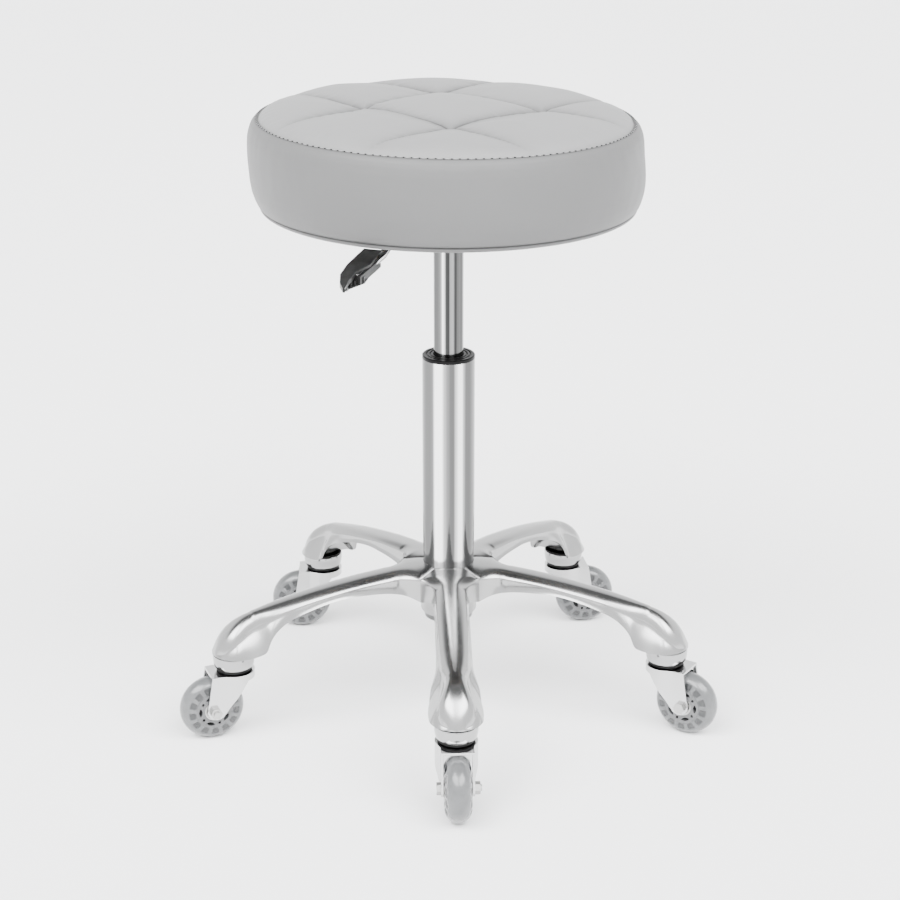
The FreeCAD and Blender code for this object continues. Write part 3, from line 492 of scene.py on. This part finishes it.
def seat_band():
    """The side panel, a little slack between its two seams, with the hem turned under."""
    profile = []
    for i in range(len(BAND) - 1):
        (r0, z0), (r1, z1) = BAND[i], BAND[i + 1]
        steps = 3 if 2 < i < 11 else 2
        profile += [(r0 + (r1 - r0) * s / steps, z0 + (z1 - z0) * s / steps) for s in range(steps)]
    profile.append(BAND[-1])
    verts, faces = revolve([(r * MM, z * MM) for r, z in profile], BAND_TURNS)
    shaped, painted_crease_shades = [], []
    for x, y, z in verts:
        turn, up = math.atan2(y, x), z / MM
        slack = smooth_step((up - 508) / 12) * smooth_step((580 - up) / 12)
        swell = noise.noise(Vector((turn * 3.4, up * 0.03, 0.0))) * 0.9 * slack
        swell += noise.noise(Vector((turn * 15.0, up * 0.05, 5.0))) * 0.25 * slack
        near_seam = math.exp(-((up - 572) / 7.0) ** 2)
        swell += noise.noise(Vector((turn * 30.0, 2.0, 7.0))) * 0.3 * near_seam
        scale = 1 + swell * MM / math.hypot(x, y)
        # Painted shade: a dark line along the bottom seam and a fainter one along the top seam.
        painted_crease_shades.append(1.6 * math.exp(-((up - BOTTOM_SEAM) / 0.9) ** 2)
                     + 0.8 * math.exp(-((up - TOP_SEAM) / 0.5) ** 2))
        x, up = lean(x * scale / MM, up)
        shaped.append((x * MM, y * scale, up * MM))
    band = mesh_piece("seat_cover_band", shaped, [f[::-1] for f in faces], LEATHER_BAND_PAINTED_SHADE,
                      "seat", "leatherette")
    mark_painted_crease_shade(band, painted_crease_shades)
    smoother = band.modifiers.new("smooth", "SUBSURF")
    smoother.levels = smoother.render_levels = 1
    bake_modifiers(band)


def add_bead(verts, faces, turn, width, length, thickness, height):
    """Add one small ellipsoid lying along the top seam, turned round to the given angle."""
    base = len(verts)
    out = Vector((math.cos(turn), math.sin(turn), 0))
    side = Vector((-out.y, out.x, 0))
    tilt = (out * 0.45 + Vector((0, 0, 0.9))).normalized()
    across = tilt.cross(side)
    middle = out * (STITCH_RADIUS + 0.4) + Vector((0, 0, height))
    for u in range(BEAD_RINGS + 1):
        for v in range(BEAD_SIDES):
            lon, lat = math.pi * u / BEAD_RINGS, 2 * math.pi * v / BEAD_SIDES
            point = (middle + side * (length * -math.cos(lon))
                     + across * (width * math.sin(lon) * math.cos(lat))
                     + tilt * (thickness * math.sin(lon) * math.sin(lat)))
            x, z = lean(point.x, point.z)
            verts.append((x * MM, point.y * MM, z * MM))
    for u in range(BEAD_RINGS):
        low, high = base + u * BEAD_SIDES, base + (u + 1) * BEAD_SIDES
        for v in range(BEAD_SIDES):
            w = (v + 1) % BEAD_SIDES
            faces.append((low + v, high + v, high + w, low + w))


def seam_stitches():
    """Thread bars along the top seam, with a dark bead between each two as painted shade in a
    needle hole.
    """
    count = round(2 * math.pi * STITCH_RADIUS / STITCH_PITCH)
    thread, holes = ([], []), ([], [])
    for i in range(count):
        turn = 2 * math.pi * i / count
        add_bead(*thread, turn, 0.42, 1.9, 0.34, 581.2)
        add_bead(*holes, turn + math.pi / count, 0.75, 0.95, 0.4, 581.2 - 0.05)
    mesh_piece("seam_thread", *thread, THREAD, "seat", "leatherette")
    mesh_piece("seam_needle_holes", *holes, STITCH_HOLE_SHADE, "seat", "leatherette")


# ---------------------------------------------------------------- star base

# An arm by reach from the column: height and half width of its lower edge (foot), and of the
# crease where its flank meets the rounded crown.
FOOT = [(24, 117), (36, 119), (52, 125.2), (70, 128.8), (98, 130), (113, 129.5), (134, 125.5),
        (158, 118.0), (168, 113.6), (178, 107.6), (184, 102.2), (187.5, 96.5), (189.5, 91.4),
        (192, 88.6), (200, 86.6), (208, 85.4), (216, 85.1), (241, 85.1)]
FOOT_HALF = [(60.7, 17.1), (80, 16.6), (100, 16.5), (135, 16.5), (160, 16.6), (172, 17.4),
             (181, 20.2), (187, 22.6), (194, 24.2), (202, 24.9), (208, 24.9), (213.5, 24.5)]
CREASE = [(18, 147.0), (24, 146.6), (30, 145.2), (38, 142.6), (48, 141.0), (66, 140.0),
          (97, 137.4), (127, 132.3), (157, 125.8), (172, 121.0), (187, 115.2), (202, 109.0),
          (215, 101.2), (226, 92.8), (231, 88.6), (241, 86.0)]
CREASE_HALF = [(60.7, 14.9), (100, 14.4), (130, 14.2), (150, 14.0), (170, 13.8), (182, 13.2),
               (190, 12.0), (198, 11.3), (206, 12.6), (214, 15.2), (221, 16.8), (227, 16.0),
               (231, 13.6), (236, 7.5), (241, 2.0)]
WEB_END, FILLET_END = 38.8, 60.7         # where the arms part, and where the round there ends
FILLET_RADIUS, FILLET_CENTRE = 27.0, 44.1
BACK_RADIUS, BACK_CENTRE = 834.2, (-8.8, -685.2)     # the long curve of an arm's ridge
NOSE_RADIUS, NOSE_CENTRE = 55.5, (185.4, 68.2)       # the drop of the ridge at the nose
NOSE_START, NOSE_END = 199, 238.2
NOSE_WIDTH, NOSE_MIDDLE = 24.6, 213.5                # the nose's round end seen from above
INSIDE_TUBE = 24.75                      # the casting starts just inside the tube's wall
CROWN_STEPS, FLANK_STEPS = 24, 6
# The boss under the hub as (radius, height).
BOSS = [(30, 119.6), (28.6, 118.2), (27.6, 115.5), (27.0, 98.5), (26.2, 97.2), (24.2, 97.2),
        (24.2, 119.6)]


def ridge_height(r):
    """Height of the ridge along the top of an arm."""
    if r < NOSE_START:
        return BACK_CENTRE[1] + math.sqrt(BACK_RADIUS ** 2 - (r - BACK_CENTRE[0]) ** 2)
    return NOSE_CENTRE[1] + math.sqrt(max(NOSE_RADIUS ** 2 - (r - NOSE_CENTRE[0]) ** 2, 0.0))


def foot_half(r):
    """Half width of an arm at its foot: the wedge between two arms, a fillet, then the arm."""
    if r < WEB_END:
        return r * math.tan(ARM_STEP / 2)
    if r < FILLET_END:
        return FILLET_CENTRE - math.sqrt(FILLET_RADIUS ** 2 - (r - FILLET_END) ** 2)
    if r > NOSE_MIDDLE:
        return math.sqrt(max(NOSE_WIDTH ** 2 - (r - NOSE_MIDDLE) ** 2, 0.6))
    return table_value(FOOT_HALF, r)


def crease_half(r):
    """Half width of the crown. Near the column it fills the whole wedge between two arms."""
    if r > FILLET_END:
        return min(table_value(CREASE_HALF, r), foot_half(r) - 0.3)
    return foot_half(r) - 2.8 * smooth_step((r - WEB_END) / 18.0)


def arm_section(r):
    """One cross-section of an arm: flank, crown, flank, then the hollow underside."""
    foot, half, crease = table_value(FOOT, r), foot_half(r), table_value(CREASE, r)
    ridge = max(ridge_height(r), foot + 0.8)
    edge = crease_half(r)
    crease = min(crease, ridge - 0.4)
    # The flanks are slightly hollow along the arm and swell outward at the nose.
    most_bow = 1.1 * min(1.0, (crease - foot) / 12) * smooth_step((r - WEB_END) / 20.0)
    most_bow *= 1.0 - 1.7 * smooth_step((r - 150.0) / 25.0)
    outer = []
    for s in range(FLANK_STEPS):
        t = s / FLANK_STEPS
        bow = most_bow * math.sin(math.pi * t)
        outer.append((half + (edge - half) * t - bow, foot + (crease - foot) * t))
    for s in range(CROWN_STEPS + 1):
        t = 1 - 2 * s / CROWN_STEPS
        t = math.copysign(math.sin(abs(t) * math.pi / 2), t)
        outer.append((edge * t, crease + (ridge - crease) * (1 - abs(t) ** 3) ** 0.8))
    outer += [(-q, z) for q, z in outer[FLANK_STEPS - 1::-1]]
    hollow = smooth_step((r - 52) / 14) * smooth_step((206 - r) / 10)
    wall = min(3.6, half * 0.4)
    roof = foot + (crease - 5.0 - foot) * hollow
    inner = [(-(half - wall), foot), (-(edge - 2.5) * 0.9, roof), (0.0, roof + 1.5 * hollow),
             ((edge - 2.5) * 0.9, roof), (half - wall, foot)]
    return outer + inner


def star_casting():
    """Five lofted arms that meet on the planes between them, and the boss under the hub."""
    reaches = ([18.5, 21, 24, 27, 30, 33, 36, WEB_END]
               + [WEB_END + 1.6 * i for i in range(1, 15)] + [63.5 + 2.0 * i for i in range(60)]
               + [183.5 + 1.5 * i for i in range(25)] + [221 + i for i in range(15)]
               + [236, 236.8, 237.5, 238, NOSE_END])
    sections = [arm_section(r) for r in reaches]
    count = len(sections[0])
    right_flank = range(FLANK_STEPS - 1)
    left_flank = range(CROWN_STEPS + FLANK_STEPS + 1, CROWN_STEPS + 2 * FLANK_STEPS)
    verts, faces = [], []
    for arm in range(5):
        turn = FIRST_ARM + arm * ARM_STEP
        base = len(verts)
        for r, section in zip(reaches, sections):
            for q, z in section:
                x = r * math.cos(turn) - q * math.sin(turn)
                y = r * math.sin(turn) + q * math.cos(turn)
                scale = max(1.0, INSIDE_TUBE / math.hypot(x, y))
                verts.append((x * scale * MM, y * scale * MM, z * MM))
        for i in range(len(reaches) - 1):
            for k in range(count):
                if reaches[i + 1] <= WEB_END and (k in right_flank or k in left_flank):
                    continue  # here the neighbouring arm joins on
                m = (k + 1) % count
                a, b = base + i * count, base + (i + 1) * count
                faces.append((a + k, b + k, b + m, a + m))
        faces.append(tuple(base + (len(reaches) - 1) * count + k for k in reversed(range(count))))
    boss_verts, boss_faces = revolve([(r * MM, z * MM) for r, z in BOSS], 96, closed=True)
    base = len(verts)
    verts += boss_verts
    faces += [tuple(base + v for v in f) for f in boss_faces]
    casting = mesh_piece("star_base_casting", verts, faces, POLISHED, "base", "polished_aluminium")
    mended = bmesh.new()
    mended.from_mesh(casting.data)
    bmesh.ops.remove_doubles(mended, verts=mended.verts, dist=0.02 * MM)
    loose = [v for v in mended.verts if not v.link_faces]
    bmesh.ops.delete(mended, geom=loose, context="VERTS")
    bmesh.ops.recalc_face_normals(mended, faces=mended.faces)
    mended.to_mesh(casting.data)
    mended.free()
    casting.data.shade_smooth()
    casting.data.set_sharp_from_angle(angle=SHARP_CORNER)
    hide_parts("star_base")


# ---------------------------------------------------------------- casters

TYRE_BORE, TYRE_RADIUS, TYRE_HALF = 17.5, 31.0, 12.0
TYRE_STEPS = 40                          # how finely the tyre's section is meshed
WINDOWS, WINDOW_STEPS = 13, 14           # moulded windows round each flank, and steps per window
WINDOW_DEPTH, WINDOW_TILT, WINDOW_REACH = 1.2, 76.0, 17.0    # the last two in degrees of section
# The swivel cup, and the near-black rings below and above it, painted shade in the gaps there, as
# (radius, height).
CUP_SHELL = [(5.9, 84.0), (5.9, 70.1), (16.8, 70.1), (18.0, 70.6), (18.9, 71.9), (19.5, 74.2),
             (19.9, 77.4), (20.0, 80.4), (19.9, 82.4), (19.6, 83.2), (18.8, 83.5), (17.4, 83.5),
             (17.0, 84.0)]
CUP_GAP_SHADE_RINGS = [[(5.9, 70.0), (5.9, 67.3), (15.8, 67.3), (16.7, 67.7), (17.2, 68.6), (17.1, 69.5),
              (16.6, 70.0)],
             [(17.5, 83.6), (18.9, 83.6), (19.6, 84.0), (19.7, 84.5), (19.3, 84.95),
              (17.5, 84.95)]]


def caster_joint(side, motion):
    """One caster's swivel or roll joint."""
    name = "caster_%s_%s" % (side, motion)
    return next(joint for joint in frame["joints"] if joint["name"] == name)


def tyre(side):
    """A soft tyre, round in section, with windows moulded into both flanks."""
    node = "caster_%s_tyre" % side
    joint = caster_joint(side, "roll")
    axle = Vector(joint["axis"])
    centre = Vector(joint["pos_m"])
    deep = TYRE_RADIUS - TYRE_BORE
    arc = (TYRE_HALF ** 2 + deep ** 2) / (2 * deep)
    middle = TYRE_RADIUS - arc
    limit = math.pi - math.asin(TYRE_HALF / arc)
    turns, ring = WINDOWS * WINDOW_STEPS, TYRE_STEPS + 1
    verts, faces, marks = [], [], []
    for i in range(turns):
        a = 2 * math.pi * i / turns
        along = abs((i % WINDOW_STEPS) / WINDOW_STEPS - 0.5) * 2
        for k in range(ring):
            tilt = -limit + 2 * limit * k / TYRE_STEPS
            band = abs(abs(math.degrees(tilt)) - WINDOW_TILT) / WINDOW_REACH
            corner = ((along / 0.66) ** 4 + band ** 4) ** 0.25
            mark = 1.0 - smooth_step((corner - 0.9) / 0.22)
            bulge = arc - WINDOW_DEPTH * mark
            r, w = middle + bulge * math.cos(tilt), bulge * math.sin(tilt)
            verts.append((r * math.cos(a) * MM, r * math.sin(a) * MM, w * MM))
            marks.append(mark)
    for i in range(turns):
        a, b = i * ring, (i + 1) % turns * ring
        for k in range(ring):
            m = (k + 1) % ring
            faces.append((a + k, b + k, b + m, a + m))
    mesh = bpy.data.meshes.new(node + "_moulding")
    mesh.from_pydata(verts, [], faces)
    attribute = mesh.attributes.new("window", "FLOAT", "POINT")
    attribute.data.foreach_set("value", marks)
    mesh.update()
    mesh.shade_smooth()
    mesh.materials.append(TYRE)
    thing = bpy.data.objects.new(node + "_moulding", mesh)
    bpy.context.scene.collection.objects.link(thing)
    turned = axle.to_track_quat("Z", "X").to_matrix().to_4x4()
    thing.matrix_world = Matrix.Translation(centre) @ turned
    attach(thing, "caster_%s_wheel" % side)
    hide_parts(node)


def caster_cup(side):
    """The pressed cup under an arm's nose, with a near-black ring above it and one below as
    painted shade in the gaps.
    """
    x, y, _ = caster_joint(side, "swivel")["pos_m"]
    centre = Vector((x, y, 0.0))
    for name, profiles, look, slot in (("cup_pressing", [CUP_SHELL], CUP_CHROME, "chrome"),
                                       ("cup_gap_shade_rings", CUP_GAP_SHADE_RINGS, DARK_GAP_SHADE, "rubber")):
        verts, faces = [], []
        for profile in profiles:
            ring, joins = revolve([(r * MM, z * MM) for r, z in profile], 72, closed=True)
            faces += [tuple(len(verts) + v for v in f) for f in joins]
            verts += [(Vector(v) + centre)[:] for v in ring]
        made = mesh_piece("caster_%s_%s" % (side, name), verts, faces, look, "base", slot)
        made.data.set_sharp_from_angle(angle=SHARP_CORNER)
    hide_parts("caster_%s_cup" % side)


# ---------------------------------------------------------------- stage

def camera():
    """A long lens in front of the stool, tilted down at it."""
    view = bpy.data.cameras.new("camera")
    view.sensor_width, view.lens, view.shift_x = 36.0, 83.57, 0.0016
    thing = bpy.data.objects.new("camera", view)
    bpy.context.scene.collection.objects.link(thing)
    thing.location = (0.0, -1.8757, 0.9506)
    thing.rotation_euler = (math.pi / 2 - 0.352, 0.0, 0.0)
    bpy.context.scene.camera = thing


def softbox(name, place, aim, size, power):
    """A soft rectangular lamp that the chrome doesn't mirror; the walls light that."""
    lamp = bpy.data.lights.new(name, "AREA")
    lamp.shape, lamp.size, lamp.size_y, lamp.energy = "RECTANGLE", size[0], size[1], power
    thing = bpy.data.objects.new(name, lamp)
    bpy.context.scene.collection.objects.link(thing)
    thing.location = place
    thing.rotation_euler = (Vector(aim) - Vector(place)).to_track_quat("-Z", "Y").to_euler()
    thing.visible_glossy = False


WALL_LEVEL, DARK_DROP, PANEL_LEVEL = 2.6, 2.35, 15.0


def sky():
    """Studio walls: bright all round, dark high up, and two lit panels high in front."""
    world = bpy.data.worlds.new("studio")
    bpy.context.scene.world = world
    world.use_nodes = True
    tree = world.node_tree
    glow = tree.nodes["Background"]

    def add(kind, **values):
        made = tree.nodes.new(kind)
        for key, value in values.items():
            setattr(made, key, value)
        return made

    def maths(operation, first, second=0.0, third=0.0):
        made = add("ShaderNodeMath", operation=operation)
        for socket, value in zip(made.inputs, (first, second, third)):
            if isinstance(value, bpy.types.NodeSocket):
                tree.links.new(value, socket)
            else:
                socket.default_value = value
        return made.outputs[0]

    def band(value, start, end, soft):
        """1 between start and end, falling to 0 over soft on each side."""
        rise = maths("DIVIDE", maths("SUBTRACT", value, start - soft), soft)
        fall = maths("DIVIDE", maths("SUBTRACT", end + soft, value), soft)
        rise, fall = maths("SMOOTH_MIN", 1.0, rise, 0.1), maths("SMOOTH_MIN", 1.0, fall, 0.1)
        return maths("MAXIMUM", maths("MINIMUM", rise, fall), 0.0)

    parts = add("ShaderNodeSeparateXYZ")
    tree.links.new(add("ShaderNodeTexCoord").outputs["Generated"], parts.inputs[0])
    x, y, z = parts.outputs
    # Height above the horizon and turn from the front, both in degrees.
    lift = maths("MULTIPLY", maths("ARCSINE", z), 180 / math.pi)
    turn = maths("MULTIPLY", maths("ARCTAN2", x, maths("MULTIPLY", y, -1.0)), 180 / math.pi)
    behind = band(y, -0.06, 2.0, 0.25)
    ahead = maths("SUBTRACT", 1.0, behind)
    dark_behind = maths("MULTIPLY", band(lift, 38.0, 91.0, 12.0), behind)
    dark_ahead = maths("MULTIPLY", band(lift, 74.0, 91.0, 7.0), ahead)
    dark = maths("MULTIPLY", maths("ADD", dark_behind, dark_ahead), DARK_DROP)
    level = maths("SUBTRACT", WALL_LEVEL, dark)
    for start, end in ((-75.0, -7.0), (9.0, 75.0)):
        panel = maths("MULTIPLY", band(turn, start, end, 6.0), band(lift, 39.0, 62.0, 6.0))
        level = maths("ADD", level, maths("MULTIPLY", panel, PANEL_LEVEL))
    tree.links.new(level, glow.inputs["Strength"])
    glow.inputs["Color"].default_value = (0.985, 0.99, 1.0, 1.0)


def studio():
    """A pale paper floor, the walls and three soft lamps."""
    floor = bpy.data.meshes.new("floor")
    reach = 8.0
    corners = [(-reach, -reach, 0), (reach, -reach, 0), (reach, reach, 0), (-reach, reach, 0)]
    floor.from_pydata(corners, [], [(0, 1, 2, 3)])
    look = Nodes("floor_paper")
    fibres = look.noise(30.0, 4.0)
    look.set(Base_Color=look.mix(fibres, grey(0.90), grey(0.92)), Roughness=0.9)
    floor.materials.append(look.material)
    thing = bpy.data.objects.new("floor", floor)
    bpy.context.scene.collection.objects.link(thing)
    sky()
    softbox("key", (-1.3, -1.2, 2.2), (0, 0, 0.3), (1.2, 1.2), 16)
    softbox("fill", (1.8, -1.0, 1.4), (0, 0, 0.3), (1.2, 1.6), 6)
    softbox("top", (0.0, 0.8, 2.8), (0, 0.4, 0.0), (3.0, 3.0), 34)


camera()
studio()
seat_top()
seat_band()
seam_stitches()
star_casting()
for caster_side in CASTERS:
    tyre(caster_side)
    caster_cup(caster_side)
bpy.context.view_layer.update()
